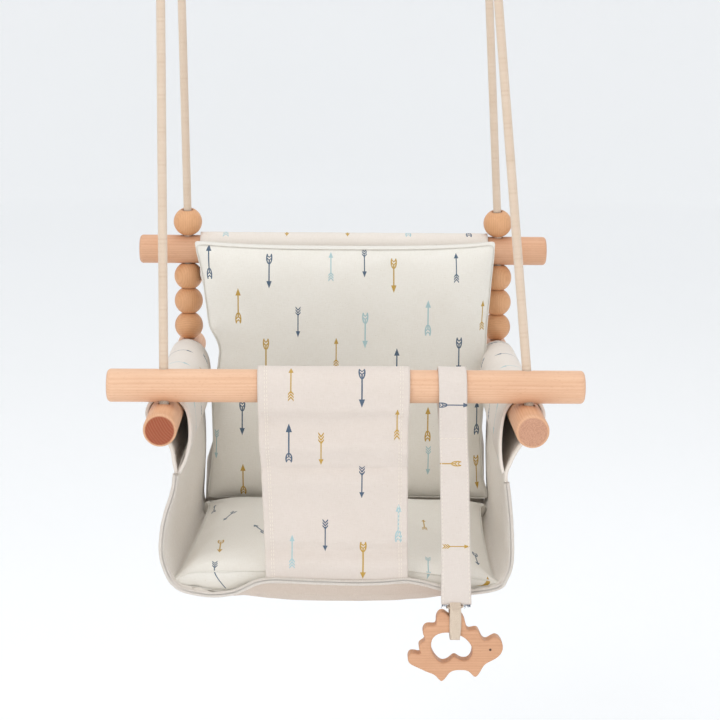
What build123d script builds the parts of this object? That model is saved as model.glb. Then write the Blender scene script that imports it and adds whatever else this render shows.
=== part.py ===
"""Hanging baby swing seat: four beech rods, spacer beads, rope and a canvas seat.

The origin is on the hang axis, straight above the empty seat's centre of gravity and
on the seat's centre plane. +Z is up, +Y is towards the backrest, +X is the right-hand
side of someone who faces the seat's front. Lengths are in millimetres.
"""

from build123d import *

import math
import os

os.makedirs("parts", exist_ok=True)

# Driving dimensions
rod_d = 28.0
rod_length = 402.0
end_round = 3.5
hole_span = 307.0  # between the rope holes, side to side and front to back
hang_height = 740.0  # hang axis above the side rods' axes
balance = 27.3  # hang axis behind the side rods' middles, so that the empty seat hangs level
rope_d = 8.0
rope_hole_d = 10.4
rest_gap = 0.3  # between pieces that rest on each other but can part
bead_height = 24.6
beads_per_stack = 3
knot_seat_d = 18.0
knot_seat_depth = 11.0
canvas = 2.0
fabric_gap = 0.6  # between a rod and the sleeve round it

# Where each side's ropes meet: the hang rings' straight bars
ring_x = {"left": -161.5, "right": 102.0}
ring_wire_d = 6.0
ring_flat = 18.0  # half of the ring's straight bar
ring_corner = 8.0
eye_offset = 4.6  # each rope's eye, to one side of the ring's middle
eye_r = ring_wire_d / 2 + rest_gap + rope_d / 2 + 0.1

# Levels and places that follow
rod_r = rod_d / 2
side = {"left": -1, "right": 1}
rods_y = -balance
front_y = rods_y - hole_span / 2
back_y = rods_y + hole_span / 2
side_z = -hang_height
side_top = side_z + rod_r
front_bar_z = side_z + rod_d + rest_gap
bead_pitch = bead_height + rest_gap
back_bar_z = side_top + beads_per_stack * bead_pitch + rest_gap + rod_r
back_bar_top = back_bar_z + rod_r
sleeve_r = rod_r + fabric_gap
rim_y = front_y + 16.5  # front edge of the canvas, just behind the front bar
seat_depth = back_y - 25.0 - rim_y
crotch_left, crotch_right = -75.0, 53.0
strap_x = 88.3
strap_w = 25.0
strap_end_z = side_z - 160.0
strap_lean = 2.3  # degrees: the strap hangs a little to the right
teether_x = 95.3
teether_hang_z = side_z - 187.3  # where the teether's hole rests on the ribbon
teether_t = 12.5


def save(piece, name):
    """Label a finished piece and write its STEP file."""
    piece.part.label = name
    export_step(piece.part, f"parts/{name}.step")


# ---------------------------------------------------------------- rope directions


def towards(start, end):
    return (end - start).normalized()


def ring_point(which, end):
    """Middle of a rope's eye: front ropes on the ring bar's left, back ropes on its right."""
    shift = -eye_offset if end == "front" else eye_offset
    return Vector(ring_x[which] + shift, 0, 0)


def front_axis_point(which):
    return Vector(side[which] * hole_span / 2, front_y, front_bar_z)


def rope_bend(which, end):
    """Where a rope turns from its upright hole into its slant to the hang ring."""
    if end == "back":
        return Vector(side[which] * hole_span / 2, back_y, back_bar_top)
    through = front_axis_point(which)
    slant = towards(through, ring_point(which, end))
    return through + slant * ((side_top - through.Z) / slant.Z)


def eye_frame(which, end):
    """The eye's centre, the direction up the rope, and the way over to its tail."""
    centre = ring_point(which, end)
    bend = rope_bend(which, end)
    facing = 1 if end == "front" else -1
    up = towards(bend, centre)
    for _ in range(3):
        aside = up.cross(Vector(1, 0, 0)).normalized() * facing
        up = towards(bend, centre + up * eye_r - aside * eye_r)
    return centre, up, aside


# ---------------------------------------------------------------- wooden rods


def rod(axis_plane, hole_planes, knot_seats=()):
    """A rod centred on its plane's origin, with rope holes drilled along hole_planes.

    knot_seats are the planes of the counterbores' ceilings, open downwards.
    """
    with BuildPart() as piece:
        with BuildSketch(axis_plane.offset(-rod_length / 2)):
            Circle(rod_r)
        extrude(amount=rod_length)
        fillet(piece.edges().filter_by(GeomType.CIRCLE), end_round)
        for hole_plane in hole_planes:
            with BuildSketch(hole_plane):
                Circle(rope_hole_d / 2)
            extrude(amount=rod_d, both=True, mode=Mode.SUBTRACT)
        for seat_plane in knot_seats:
            with BuildSketch(seat_plane):
                Circle(knot_seat_d / 2)
            extrude(amount=-rod_d, mode=Mode.SUBTRACT)
    return piece


def upright(point):
    return Plane(origin=point, z_dir=(0, 0, 1))


across = Plane(origin=(0, front_y, front_bar_z), z_dir=(1, 0, 0))
slanted = []
for which in side:
    through = front_axis_point(which)
    slant = towards(through, ring_point(which, "front"))
    slanted.append(Plane(origin=through, z_dir=slant))
print("front bar lifts along", (slanted[0].z_dir + slanted[1].z_dir).normalized())
front_bar = rod(across, slanted)
save(front_bar, "front_bar")

across = Plane(origin=(0, back_y, back_bar_z), z_dir=(1, 0, 0))
straight = [upright((s * hole_span / 2, back_y, back_bar_z)) for s in side.values()]
back_bar = rod(across, straight)
save(back_bar, "back_bar")

for which, sign in side.items():
    along = Plane(origin=(sign * hole_span / 2, rods_y, side_z), z_dir=(0, 1, 0))
    seat_z = side_z - rod_r + knot_seat_depth
    holes, knot_seats = [], []
    for end in ("front", "back"):
        bend = rope_bend(which, end)
        holes.append(upright((bend.X, bend.Y, side_z)))
        knot_seats.append(upright((bend.X, bend.Y, seat_z)))
    side_rod = rod(along, holes, knot_seats)
    save(side_rod, f"{which}_side_rod")

# ---------------------------------------------------------------- beads


def bead(plane):
    """A ball with two flats, drilled for the rope."""
    with BuildPart(plane) as piece:
        Sphere(rod_r)
        Cylinder(rod_r, bead_height, mode=Mode.INTERSECT)
        Cylinder(rope_hole_d / 2, bead_height, mode=Mode.SUBTRACT)
    return piece


for which, sign in side.items():
    for count, level in enumerate(("lower", "middle", "upper")):
        centre_z = side_top + rest_gap + bead_height / 2 + count * bead_pitch
        spacer = bead(upright((sign * hole_span / 2, back_y, centre_z)))
        save(spacer, f"{which}_{level}_spacer_bead")

# A top bead sits square on its slanting rope, so one edge of its flat is lowest.
for which in side:
    bend = rope_bend(which, "back")
    slant = eye_frame(which, "back")[1]
    flat_r = math.sqrt(rod_r**2 - (bead_height / 2) ** 2)
    lowest = bead_height / 2 * slant.Z + flat_r * math.sqrt(1 - slant.Z**2)
    rise = (lowest + rest_gap) / slant.Z
    top_bead = bead(Plane(origin=bend + slant * rise, z_dir=slant))
    save(top_bead, f"{which}_top_bead")
    print(f"{which} top bead slides along", slant, "centre", bend + slant * rise)

# ---------------------------------------------------------------- hang rings

for which, x in ring_x.items():
    outer_r = ring_flat + ring_corner
    face = Plane(origin=(x, 0, 0), x_dir=(1, 0, 0), z_dir=(0, -1, 0))
    with BuildPart() as ring:
        with BuildLine(face):
            Line((-ring_flat, 0), (ring_flat, 0))
            CenterArc((ring_flat, ring_corner), ring_corner, -90, 90)
            CenterArc((0, ring_corner), outer_r, 0, 180)
            CenterArc((-ring_flat, ring_corner), ring_corner, 180, 90)
        with BuildSketch(Plane(origin=(x - ring_flat, 0, 0), z_dir=(1, 0, 0))):
            Circle(ring_wire_d / 2)
        sweep()
    save(ring, f"{which}_hang_ring")

# ---------------------------------------------------------------- ropes

tail_gap = rope_d + 0.6  # between the rope and its tail, centre to centre
tail_start = 14.0
tail_meets = 34.0
tail_end = 72.0
binding_start = 45.0
binding_length = 20.0
hole_edge_r = 60.0  # a taut rope's bend over the edge of its hole
binding_wall = 1.4
knot_top_z = side_z - rod_r + knot_seat_depth - rest_gap


def rope_route(which, end):
    """Corner points from the knot, through the wood, round the ring bar and back."""
    bend = rope_bend(which, end)
    centre, up, aside = eye_frame(which, end)
    return [
        Vector(bend.X, bend.Y, knot_top_z),
        bend,
        centre + up * eye_r - aside * eye_r,
        centre + up * eye_r + aside * eye_r,
        centre - up * tail_start + aside * eye_r,
        centre - up * tail_meets + aside * (tail_gap - eye_r),
        centre - up * tail_end + aside * (tail_gap - eye_r),
    ]


for which in side:
    for end in ("front", "back"):
        points = rope_route(which, end)
        runs = [b - a for a, b in zip(points, points[1:])]
        radii = []
        for before, after in zip(runs, runs[1:]):
            half_turn = math.radians(before.get_angle(after) / 2)
            radii.append(0.45 * min(before.length, after.length) / math.tan(half_turn))
        radii[0] = hole_edge_r
        radii[1] = radii[2] = eye_r - 0.1  # the two corners that go round the ring's bar
        with BuildPart() as rope:
            with BuildLine() as route:
                FilletPolyline(*points, radius=radii)
            with BuildSketch(Plane(origin=points[0], z_dir=runs[0])):
                Circle(rope_d / 2)
            sweep()
        save(rope, f"{end}_{which}_rope")
        length = sum(edge.length for edge in route.edges())
        section = math.pi * rope_d**2 / 4
        print(
            f"{end} {which} rope: length {length:.1f}, volume {rope.part.volume:.0f}",
            f"against {section * length:.0f}, radii {[round(r, 1) for r in radii]}",
        )
        for point in points:
            print("   ", [round(value, 2) for value in tuple(point)])

        with BuildPart() as knot:
            with BuildSketch(upright((points[0].X, points[0].Y, knot_top_z - 10.5))):
                Circle(knot_seat_d / 2 - 1.2)
            extrude(amount=10.5)
            fillet(knot.edges(), 4.0)
        save(knot, f"{end}_{which}_knot")

        centre, up, aside = eye_frame(which, end)
        middle = centre - up * binding_start + aside * (tail_gap / 2 - eye_r)
        inner_r = rope_d / 2 + rest_gap
        with BuildPart() as binding:
            with BuildSketch(Plane(origin=middle, x_dir=aside, z_dir=-up)):
                SlotCenterToCenter(tail_gap, 2 * (inner_r + binding_wall))
                SlotCenterToCenter(tail_gap, 2 * inner_r, mode=Mode.SUBTRACT)
            extrude(amount=binding_length)
        save(binding, f"{end}_{which}_rope_binding")

# ---------------------------------------------------------------- canvas seat


def teardrop(centre, tip, radius):
    """A circle joined to a tip by its two tangents."""
    reach = Vector(*tip) - Vector(*centre)
    half = math.acos(radius / reach.length)
    heading = math.atan2(reach.Y, reach.X)

    def on_circle(angle):
        return (centre[0] + radius * math.cos(angle), centre[1] + radius * math.sin(angle))

    with BuildSketch() as outline:
        with BuildLine():
            Line(tip, on_circle(heading + half))
            ThreePointArc(
                on_circle(heading + half),
                on_circle(heading + math.pi),
                on_circle(heading - half),
            )
            Line(on_circle(heading - half), tip)
        make_face()
    return outline.sketch


def sleeve(centre, tip, radius):
    """Section of a sleeve round a rod, closed by a seam at its tip."""
    reach = Vector(*tip) - Vector(*centre)
    inner_tip = Vector(*tip) - reach.normalized() * 2 * canvas
    with BuildSketch() as section:
        add(teardrop(centre, tip, radius + canvas))
        add(teardrop(centre, (inner_tip.X, inner_tip.Y), radius), mode=Mode.SUBTRACT)
    return section.sketch


def wall_line(sign):
    """Half of the trough's outline, from the sleeve's seam down to the base."""
    wall = [(141, -50), (149.5, -86), (152, -118), (146.5, -141), (134.0, -152.6)]
    return [(sign * x, side_z + z) for x, z in wall]


def add_base_line(half_width):
    """The base's sagging line, from corner to corner."""
    ThreePointArc((-half_width, side_z - 152.6), (0, side_z - 168), (half_width, side_z - 152.6))


canvas_wall = 2.4
for which, sign in side.items():
    centre = (sign * hole_span / 2, side_z)
    tip = (sign * 141.0, side_z - 52.0)
    with BuildPart() as side_panel:
        with BuildSketch(Plane.XZ.offset(-rim_y)):
            add(sleeve(centre, tip, sleeve_r))
            with BuildLine():
                Spline(*wall_line(sign))
            trace(line_width=canvas_wall)
        extrude(amount=-seat_depth)
    save(side_panel, f"{which}_side_panel")

with BuildPart() as seat_base:
    with BuildSketch(Plane.XZ.offset(-rim_y)):
        with BuildLine():
            add_base_line(132.6)
        trace(line_width=canvas_wall)
    extrude(amount=-seat_depth)
save(seat_base, "seat_base")

piping_d = 4.0
with BuildPart() as rim_piping:
    with BuildSketch(Plane.XZ.offset(-rim_y + piping_d)):
        with BuildLine():
            Spline(*wall_line(-1))
        trace(line_width=piping_d)
        with BuildLine():
            add_base_line(134.0)
        trace(line_width=piping_d)
        with BuildLine():
            Spline(*wall_line(1))
        trace(line_width=piping_d)
    extrude(amount=-(piping_d - 0.2))
save(rim_piping, "rim_piping")

back_panel_half = 139.0
with BuildPart() as back_panel:
    with BuildSketch(Plane.YZ.offset(-back_panel_half)):
        tip = (back_y - 10.0, side_z + 64.0)
        add(sleeve((back_y, back_bar_z), tip, sleeve_r))
        with BuildLine():
            Line((tip[0], tip[1] + 1.0), (back_y - 22.0, side_z - 160.0))
        trace(line_width=canvas_wall)
    extrude(amount=2 * back_panel_half)
save(back_panel, "back_panel")

with BuildPart() as crotch_panel:
    with BuildSketch(Plane.YZ.offset(crotch_left)):
        tip = (front_y + 1.5, side_z - 42.0)
        add(sleeve((front_y, front_bar_z), tip, sleeve_r))
        with BuildLine():
            Line((tip[0], tip[1] + 1.0), (rim_y - piping_d - 1.6, side_z - 150.0))
        trace(line_width=canvas_wall)
    extrude(amount=crotch_right - crotch_left)
save(crotch_panel, "crotch_panel")

snap_d = 11.0
snap_t = 3.2
with BuildPart() as crotch_snaps:
    with BuildSketch(Plane.XZ.offset(-(front_y + 1.5 + canvas_wall / 2 + 1.6))):
        with Locations((crotch_left + 9, side_z - 49), (crotch_right - 9, side_z - 49)):
            Circle(snap_d / 2)
    extrude(amount=-snap_t)
    fillet(crotch_snaps.faces().sort_by(Axis.Y)[-2:].edges(), 1.2)
save(crotch_snaps, "crotch_snaps")

# ---------------------------------------------------------------- cushions

cushion_top = side_z - 131.0
cushion_depth = 218.5
with BuildPart() as seat_cushion:
    with BuildSketch(Plane.XZ.offset(-(rim_y + 5.0))):
        with BuildLine():
            Line((-128, cushion_top), (128, cushion_top))
            Line((128, cushion_top), (128, cushion_top - 19.5))
            ThreePointArc(
                (128, cushion_top - 19.5), (0, cushion_top - 34.5), (-128, cushion_top - 19.5)
            )
            Line((-128, cushion_top - 19.5), (-128, cushion_top))
        make_face()
    extrude(amount=-cushion_depth)
    fillet(seat_cushion.edges(), 5.0)
save(seat_cushion, "seat_cushion")

back_cushion_t = 27.0
back_cushion_lean = 3.2
back_cushion_foot = Plane(
    origin=(0, back_y - 31.5, side_z - 127.0),
    x_dir=(1, 0, 0),
    z_dir=Vector(0, -1, 0).rotate(Axis.X, -back_cushion_lean),
)
with BuildPart() as back_cushion:
    with BuildSketch(back_cushion_foot):
        with BuildLine():
            Polyline((-132, 0), (132, 0), (134, 150), (143, 236), (-143, 236), (-134, 150), close=True)
        make_face()
    extrude(amount=back_cushion_t)
    fillet(back_cushion.edges(), 6.0)
save(back_cushion, "back_cushion")

# ---------------------------------------------------------------- toy strap, ribbon, teether

strap_t = 2.4
strap_seam_z = side_z - 14.0
with BuildPart() as toy_strap:
    with BuildSketch(Plane.YZ.offset(strap_x - strap_w / 2)):
        add(sleeve((front_y, front_bar_z), (front_y, strap_seam_z), sleeve_r))
    extrude(amount=strap_w)
    hang = Plane(
        origin=(strap_x, front_y, strap_seam_z + 2.0),
        x_dir=(math.cos(math.radians(strap_lean)), 0, math.sin(math.radians(strap_lean))),
        z_dir=(0, -1, 0),
    )
    strap_run = (strap_seam_z + 2.0 - strap_end_z) / math.cos(math.radians(strap_lean))
    with BuildSketch(hang.offset(-strap_t / 2)):
        with Locations((0, -strap_run / 2)):
            Rectangle(strap_w, strap_run)
    extrude(amount=strap_t)
save(toy_strap, "toy_strap")

ribbon_w = 9.0
ribbon_t = 1.0
ribbon_top_z = strap_end_z - 1.8
ribbon_inner_half = teether_t / 2 + 0.4
ribbon_bottom_z = teether_hang_z - 3.9
with BuildPart() as toy_ribbon:
    with BuildSketch(Plane.YZ.offset(teether_x - ribbon_w / 2)):
        with BuildLine():
            Polyline(
                (front_y, ribbon_top_z),
                (front_y - ribbon_inner_half - ribbon_t / 2, ribbon_top_z - 6.0),
                (front_y - ribbon_inner_half - ribbon_t / 2, ribbon_bottom_z - ribbon_t / 2),
                (front_y + ribbon_inner_half + ribbon_t / 2, ribbon_bottom_z - ribbon_t / 2),
                (front_y + ribbon_inner_half + ribbon_t / 2, ribbon_top_z - 6.0),
                close=True,
            )
        trace(line_width=ribbon_t)
    extrude(amount=ribbon_w)
save(toy_ribbon, "toy_ribbon")

# The teether is a generic round-backed animal: outline in its own plane, from the
# point where it hangs on the ribbon.
teether_face = Plane(
    origin=(teether_x, front_y, teether_hang_z), x_dir=(1, 0, 0), z_dir=(0, -1, 0)
)
with BuildPart() as teether:
    with BuildSketch(teether_face.offset(-teether_t / 2)):
        with BuildLine():
            Spline(
                (-40.3, -22.0),  # tail
                (-36.5, -18.4),
                (-29.5, -19.4),
                (-31.0, -12.0),  # first bump
                (-26.0, -7.0),
                (-27.8, -0.5),
                (-23.5, 6.0),  # second bump
                (-17.2, 6.0),
                (-16.0, 14.0),
                (-10.8, 18.4),  # third and tallest bump
                (-5.8, 15.2),
                (-1.0, 14.0),
                (4.0, 16.2),  # fourth bump
                (8.2, 11.0),
                (12.2, 2.0),
                (18.6, 3.0),  # fifth bump
                (22.0, -2.0),
                (26.5, -7.5),
                (34.6, -3.8),  # head
                (41.6, -11.5),
                (37.0, -22.5),
                (26.0, -29.5),
                (22.5, -35.5),  # front foot
                (18.0, -40.2),
                (13.5, -36.0),
                (7.0, -34.0),
                (-3.5, -36.0),
                (-7.0, -40.5),  # rear foot
                (-11.0, -44.0),
                (-16.0, -39.5),
                (-23.0, -36.0),
                (-32.5, -31.5),
                periodic=True,
            )
        make_face()
        with BuildLine():
            Spline(
                (-20.4, -11.5),
                (-16.5, -2.6),
                (-6.5, 0.0),
                (4.5, -2.6),
                (12.0, -8.5),
                (15.2, -17.0),
                (10.8, -25.0),
                (4.0, -24.0),
                (0.2, -21.8),
                (-5.0, -25.5),
                (-10.5, -27.2),
                (-17.0, -21.5),
                periodic=True,
            )
        make_face(mode=Mode.SUBTRACT)
        with Locations((30.7, -15.0)):
            Circle(1.0, mode=Mode.SUBTRACT)
    extrude(amount=teether_t)
save(teether, "teether")
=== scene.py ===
"""Hanging baby swing seat: the looks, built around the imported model.

Seat coordinates, used for every soft piece, are in millimetres: x from the seat's
centre plane, y behind the front bar's axis, z above the side rods' axes. at() turns
them into the frame's metres.
"""

import math
import random
from functools import reduce

import bpy
import numpy as np
from mathutils import Matrix, Vector, noise


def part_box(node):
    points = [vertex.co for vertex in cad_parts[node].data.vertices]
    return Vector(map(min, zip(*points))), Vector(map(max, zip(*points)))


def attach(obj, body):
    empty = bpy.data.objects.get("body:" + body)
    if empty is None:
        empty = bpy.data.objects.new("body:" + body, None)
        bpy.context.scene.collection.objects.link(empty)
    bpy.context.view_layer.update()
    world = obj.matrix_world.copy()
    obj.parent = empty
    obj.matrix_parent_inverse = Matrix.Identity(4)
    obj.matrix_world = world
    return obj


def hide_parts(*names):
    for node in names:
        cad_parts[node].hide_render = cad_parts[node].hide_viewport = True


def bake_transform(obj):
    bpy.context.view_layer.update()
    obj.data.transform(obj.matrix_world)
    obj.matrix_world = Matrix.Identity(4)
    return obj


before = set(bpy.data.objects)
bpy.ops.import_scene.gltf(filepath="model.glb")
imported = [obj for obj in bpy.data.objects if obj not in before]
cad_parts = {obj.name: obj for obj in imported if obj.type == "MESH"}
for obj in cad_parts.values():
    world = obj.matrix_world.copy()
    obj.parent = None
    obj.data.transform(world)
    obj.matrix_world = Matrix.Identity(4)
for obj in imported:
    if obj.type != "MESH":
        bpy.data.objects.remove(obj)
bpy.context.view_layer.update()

MM = 0.001
SIDES = {"left": -1, "right": 1}


def centre_of(node):
    low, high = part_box(node)
    return (low + high) / 2


FRONT_Y = centre_of("front_bar").y
SIDE_Z = centre_of("left_side_rod").z
SIDE_X = centre_of("right_side_rod").x / MM
RIM_Y = (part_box("seat_base")[0].y - FRONT_Y) / MM
SEAT_END = (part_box("seat_base")[1].y - FRONT_Y) / MM


def at(x, y, z):
    """A point in seat coordinates, in the frame's metres."""
    return Vector((x * MM, FRONT_Y + y * MM, SIDE_Z + z * MM))


# ---------------------------------------------------------------- small maths


def mix(a, b, t):
    return a + (b - a) * t


def ease(t):
    t = min(max(t, 0.0), 1.0)
    return t * t * (3 - 2 * t)


def bell(x, centre, width):
    return math.exp(-(((x - centre) / width) ** 2))


def read_off(x, table):
    """The value at x on the broken line through a table of (x, value) pairs."""
    return float(np.interp(x, *zip(*table)))


def edges_from(table):
    """A function of height, giving the left and right edge from rows of (height, left, right)."""
    heights, left, right = zip(*table)
    return lambda z: (float(np.interp(z, heights, left)), float(np.interp(z, heights, right)))


def wander(x, y, seed, size):
    """Smooth noise from -1 to 1, with waves about size long."""
    return noise.noise(Vector((x / size, y / size, seed)))


def unit(vector):
    return vector / np.linalg.norm(vector)


def smooth_line(points, per_span=12):
    """A Catmull-Rom curve through 2-D or 3-D points, as a numpy array."""
    p = np.array(points, float)
    p = np.vstack([2 * p[0] - p[1], p, 2 * p[-1] - p[-2]])
    out = []
    for a, b, c, d in zip(p, p[1:], p[2:], p[3:]):
        for t in np.arange(per_span) / per_span:
            bend = (2 * a - 5 * b + 4 * c - d) * t**2 + (3 * b - a - 3 * c + d) * t**3
            out.append(0.5 * (2 * b + (c - a) * t + bend))
    out.append(p[-2])
    return np.array(out)


def lengths_along(line):
    return np.concatenate([[0], np.cumsum(np.linalg.norm(np.diff(line, axis=0), axis=1))])


def point_at(line, run, along):
    """The point of a line that lies a distance along it; run is its lengths_along."""
    return np.array([np.interp(along, run, line[:, k]) for k in range(line.shape[1])])


def evenly(line, count):
    """The same line with count points spaced evenly along it, and its length."""
    run = lengths_along(line)
    return point_at(line, run, np.linspace(0, run[-1], count)).T, run[-1]


# ---------------------------------------------------------------- meshes


def new_object(name, mesh):
    obj = bpy.data.objects.new(name, mesh)
    bpy.context.scene.collection.objects.link(obj)
    return obj


def mesh_object(name, points, faces, uvs=None):
    """A mesh from points in metres. uvs has one pair for each point, in metres too."""
    mesh = bpy.data.meshes.new(name)
    mesh.from_pydata([tuple(p) for p in points], [], faces)
    mesh.validate()
    if uvs is not None:
        layer = mesh.uv_layers.new(name="UVMap")
        for loop in mesh.loops:
            layer.data[loop.index].uv = uvs[loop.vertex_index]
    mesh.polygons.foreach_set("use_smooth", [True] * len(mesh.polygons))
    return new_object(name, mesh)


def grid_faces(rows, cols, wrap=False):
    faces = []
    for i in range(rows - 1):
        for j in range(cols if wrap else cols - 1):
            k = (j + 1) % cols
            faces.append((i * cols + j, i * cols + k, (i + 1) * cols + k, (i + 1) * cols + j))
    return faces


def grid_edge(rows, cols):
    """The points all round a grid, in order."""
    right = [i * cols + cols - 1 for i in range(1, rows)]
    last_row = [(rows - 1) * cols + j for j in range(cols - 2, -1, -1)]
    return list(range(cols)) + right + last_row + [i * cols for i in range(rows - 2, 0, -1)]


def apply_modifiers(obj):
    """Make the modifiers' result the object's own mesh."""
    graph = bpy.context.evaluated_depsgraph_get()
    graph.update()
    result = obj.evaluated_get(graph)
    mesh = bpy.data.meshes.new_from_object(result, preserve_all_data_layers=True, depsgraph=graph)
    obj.modifiers.clear()
    obj.data = mesh
    mesh.polygons.foreach_set("use_smooth", [True] * len(mesh.polygons))
    return obj


def frames_along(path):
    """Two normals that don't twist, at each point of a path."""
    tangents = np.gradient(path, axis=0)
    tangents /= np.linalg.norm(tangents, axis=1)[:, None]
    normal = unit(np.cross(tangents[0], (1.0, 0.0, 0.0)))
    normals = []
    for t in tangents:
        normal = unit(normal - t * normal.dot(t))
        normals.append(normal)
    return np.array(normals), np.cross(tangents, normals)


def tube(name, path, radius, around=10, width=1.0, profile=None, closed=False):
    """A tube along a path in metres. profile(k, angle) scales its radius."""
    path = np.array(path, float)
    normals, sides = frames_along(path)
    points, uvs = [], []
    run = lengths_along(path)
    for k in range(len(path)):
        for j in range(around):
            angle = 2 * math.pi * j / around
            r = radius * (profile(k, angle) if profile else 1.0)
            across = math.cos(angle) * width * normals[k] + math.sin(angle) * sides[k]
            points.append(path[k] + across * r)
            uvs.append((radius * angle, run[k]))
    faces = grid_faces(len(path), around, wrap=True)
    last = (len(path) - 1) * around
    if closed:
        faces += [(last + j, last + (j + 1) % around, (j + 1) % around, j) for j in range(around)]
    else:
        faces += [tuple(range(around))[::-1], tuple(range(last, last + around))]
    return mesh_object(name, points, faces, uvs)


def join(name, objects):
    """One object from several, with the first one's material slots."""
    bpy.ops.object.select_all(action="DESELECT")
    for obj in objects:
        obj.select_set(True)
    bpy.context.view_layer.objects.active = objects[0]
    bpy.ops.object.join()
    objects[0].name = name
    return objects[0]


def paint(obj, *materials):
    """Give the object these materials; its faces keep the slots they had."""
    slots = [face.material_index for face in obj.data.polygons]
    obj.data.materials.clear()
    for material in materials:
        obj.data.materials.append(material)
    obj.data.polygons.foreach_set("material_index", [min(k, len(materials) - 1) for k in slots])
    return obj


def dress(piece, body, slot, *nodes):
    """Let a piece ride a body and stand for CAD nodes, which it hides. The slot argument is not used."""
    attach(piece, body)
    if nodes:
        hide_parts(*nodes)
    return piece


# ---------------------------------------------------------------- materials


class Nodes:
    """A short way to write a node tree."""

    def __init__(self, tree):
        self.tree = tree

    def add(self, kind, **settings):
        """A shader node. Settings that start with in_ go to its inputs."""
        node = self.tree.nodes.new("ShaderNode" + kind)
        for key, value in settings.items():
            if key.startswith("in_"):
                self.feed(value, node.inputs[key[3:].replace("_", " ")])
            else:
                setattr(node, key, value)
        return node

    def feed(self, value, socket):
        if isinstance(value, bpy.types.NodeSocket):
            self.tree.links.new(value, socket)
        else:
            socket.default_value = value

    def place(self):
        return self.add("TexCoord").outputs["Object"]

    def flat(self):
        """Place on the cloth as it was cut, in metres."""
        return self.add("UVMap", uv_map="UVMap").outputs[0]

    def split(self, vector):
        return self.add("SeparateXYZ", in_Vector=vector).outputs

    def math(self, operation, *values):
        node = self.add("Math", operation=operation)
        for value, socket in zip(values, node.inputs):
            self.feed(value, socket)
        return node.outputs[0]

    def plus(self, a, b):
        return self.math("ADD", a, b)

    def minus(self, a, b):
        return self.math("SUBTRACT", a, b)

    def times(self, a, b):
        return self.math("MULTIPLY", a, b)

    def weighted(self, *terms):
        """The sum of values, each times its weight."""
        return reduce(self.plus, [self.times(value, weight) for value, weight in terms])

    def scaled(self, vector, scale, offset=(0, 0, 0)):
        return self.add("Mapping", in_Vector=vector, in_Scale=scale, in_Location=offset).outputs[0]

    def distance(self, vector, point, axes):
        """Distance from a point, along the axes that are 1 and not those that are 0."""
        from_point = self.add("VectorMath", operation="SUBTRACT", in_Vector=vector)
        from_point.inputs[1].default_value = point
        kept = self.scaled(from_point.outputs[0], axes)
        return self.add("VectorMath", operation="LENGTH", in_Vector=kept).outputs["Value"]

    def noise(self, vector, scale, detail=2.0, roughness=0.5):
        ways = {"in_Scale": scale, "in_Detail": detail, "in_Roughness": roughness}
        return self.add("TexNoise", in_Vector=vector, **ways).outputs["Fac"]

    def remap(self, value, low, high, to_low=0.0, to_high=1.0):
        ends = {"in_From_Min": low, "in_From_Max": high, "in_To_Min": to_low, "in_To_Max": to_high}
        return self.add("MapRange", in_Value=value, **ends).outputs[0]

    def blend(self, factor, a, b):
        return self.add("Mix", data_type="RGBA", in_Factor=factor, in_A=a, in_B=b).outputs["Result"]

    def bump(self, height, distance, strength):
        return self.add("Bump", in_Height=height, in_Distance=distance, in_Strength=strength).outputs[0]


def srgb(text):
    """A colour written as six hex digits, as linear RGBA."""
    parts = [int(text[k : k + 2], 16) / 255 for k in (0, 2, 4)]
    return tuple(c / 12.92 if c <= 0.04045 else ((c + 0.055) / 1.055) ** 2.4 for c in parts) + (1.0,)


def shaded(colour, *shares):
    """A colour written as hex digits, with each channel times its share, as linear RGBA."""
    return tuple(c * share for c, share in zip(srgb(colour), shares)) + (1.0,)


def new_material(name, **settings):
    """A material, its nodes, and its shader with these settings."""
    material = bpy.data.materials.new(name)
    material.use_nodes = True
    shader = material.node_tree.nodes["Principled BSDF"]
    for key, value in settings.items():
        shader.inputs[key.replace("_", " ")].default_value = value
    return material, Nodes(material.node_tree), shader.inputs


RING_MM = 2.1
FLECK = srgb("b0744f")
PORE = srgb("8a4a2c")


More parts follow.
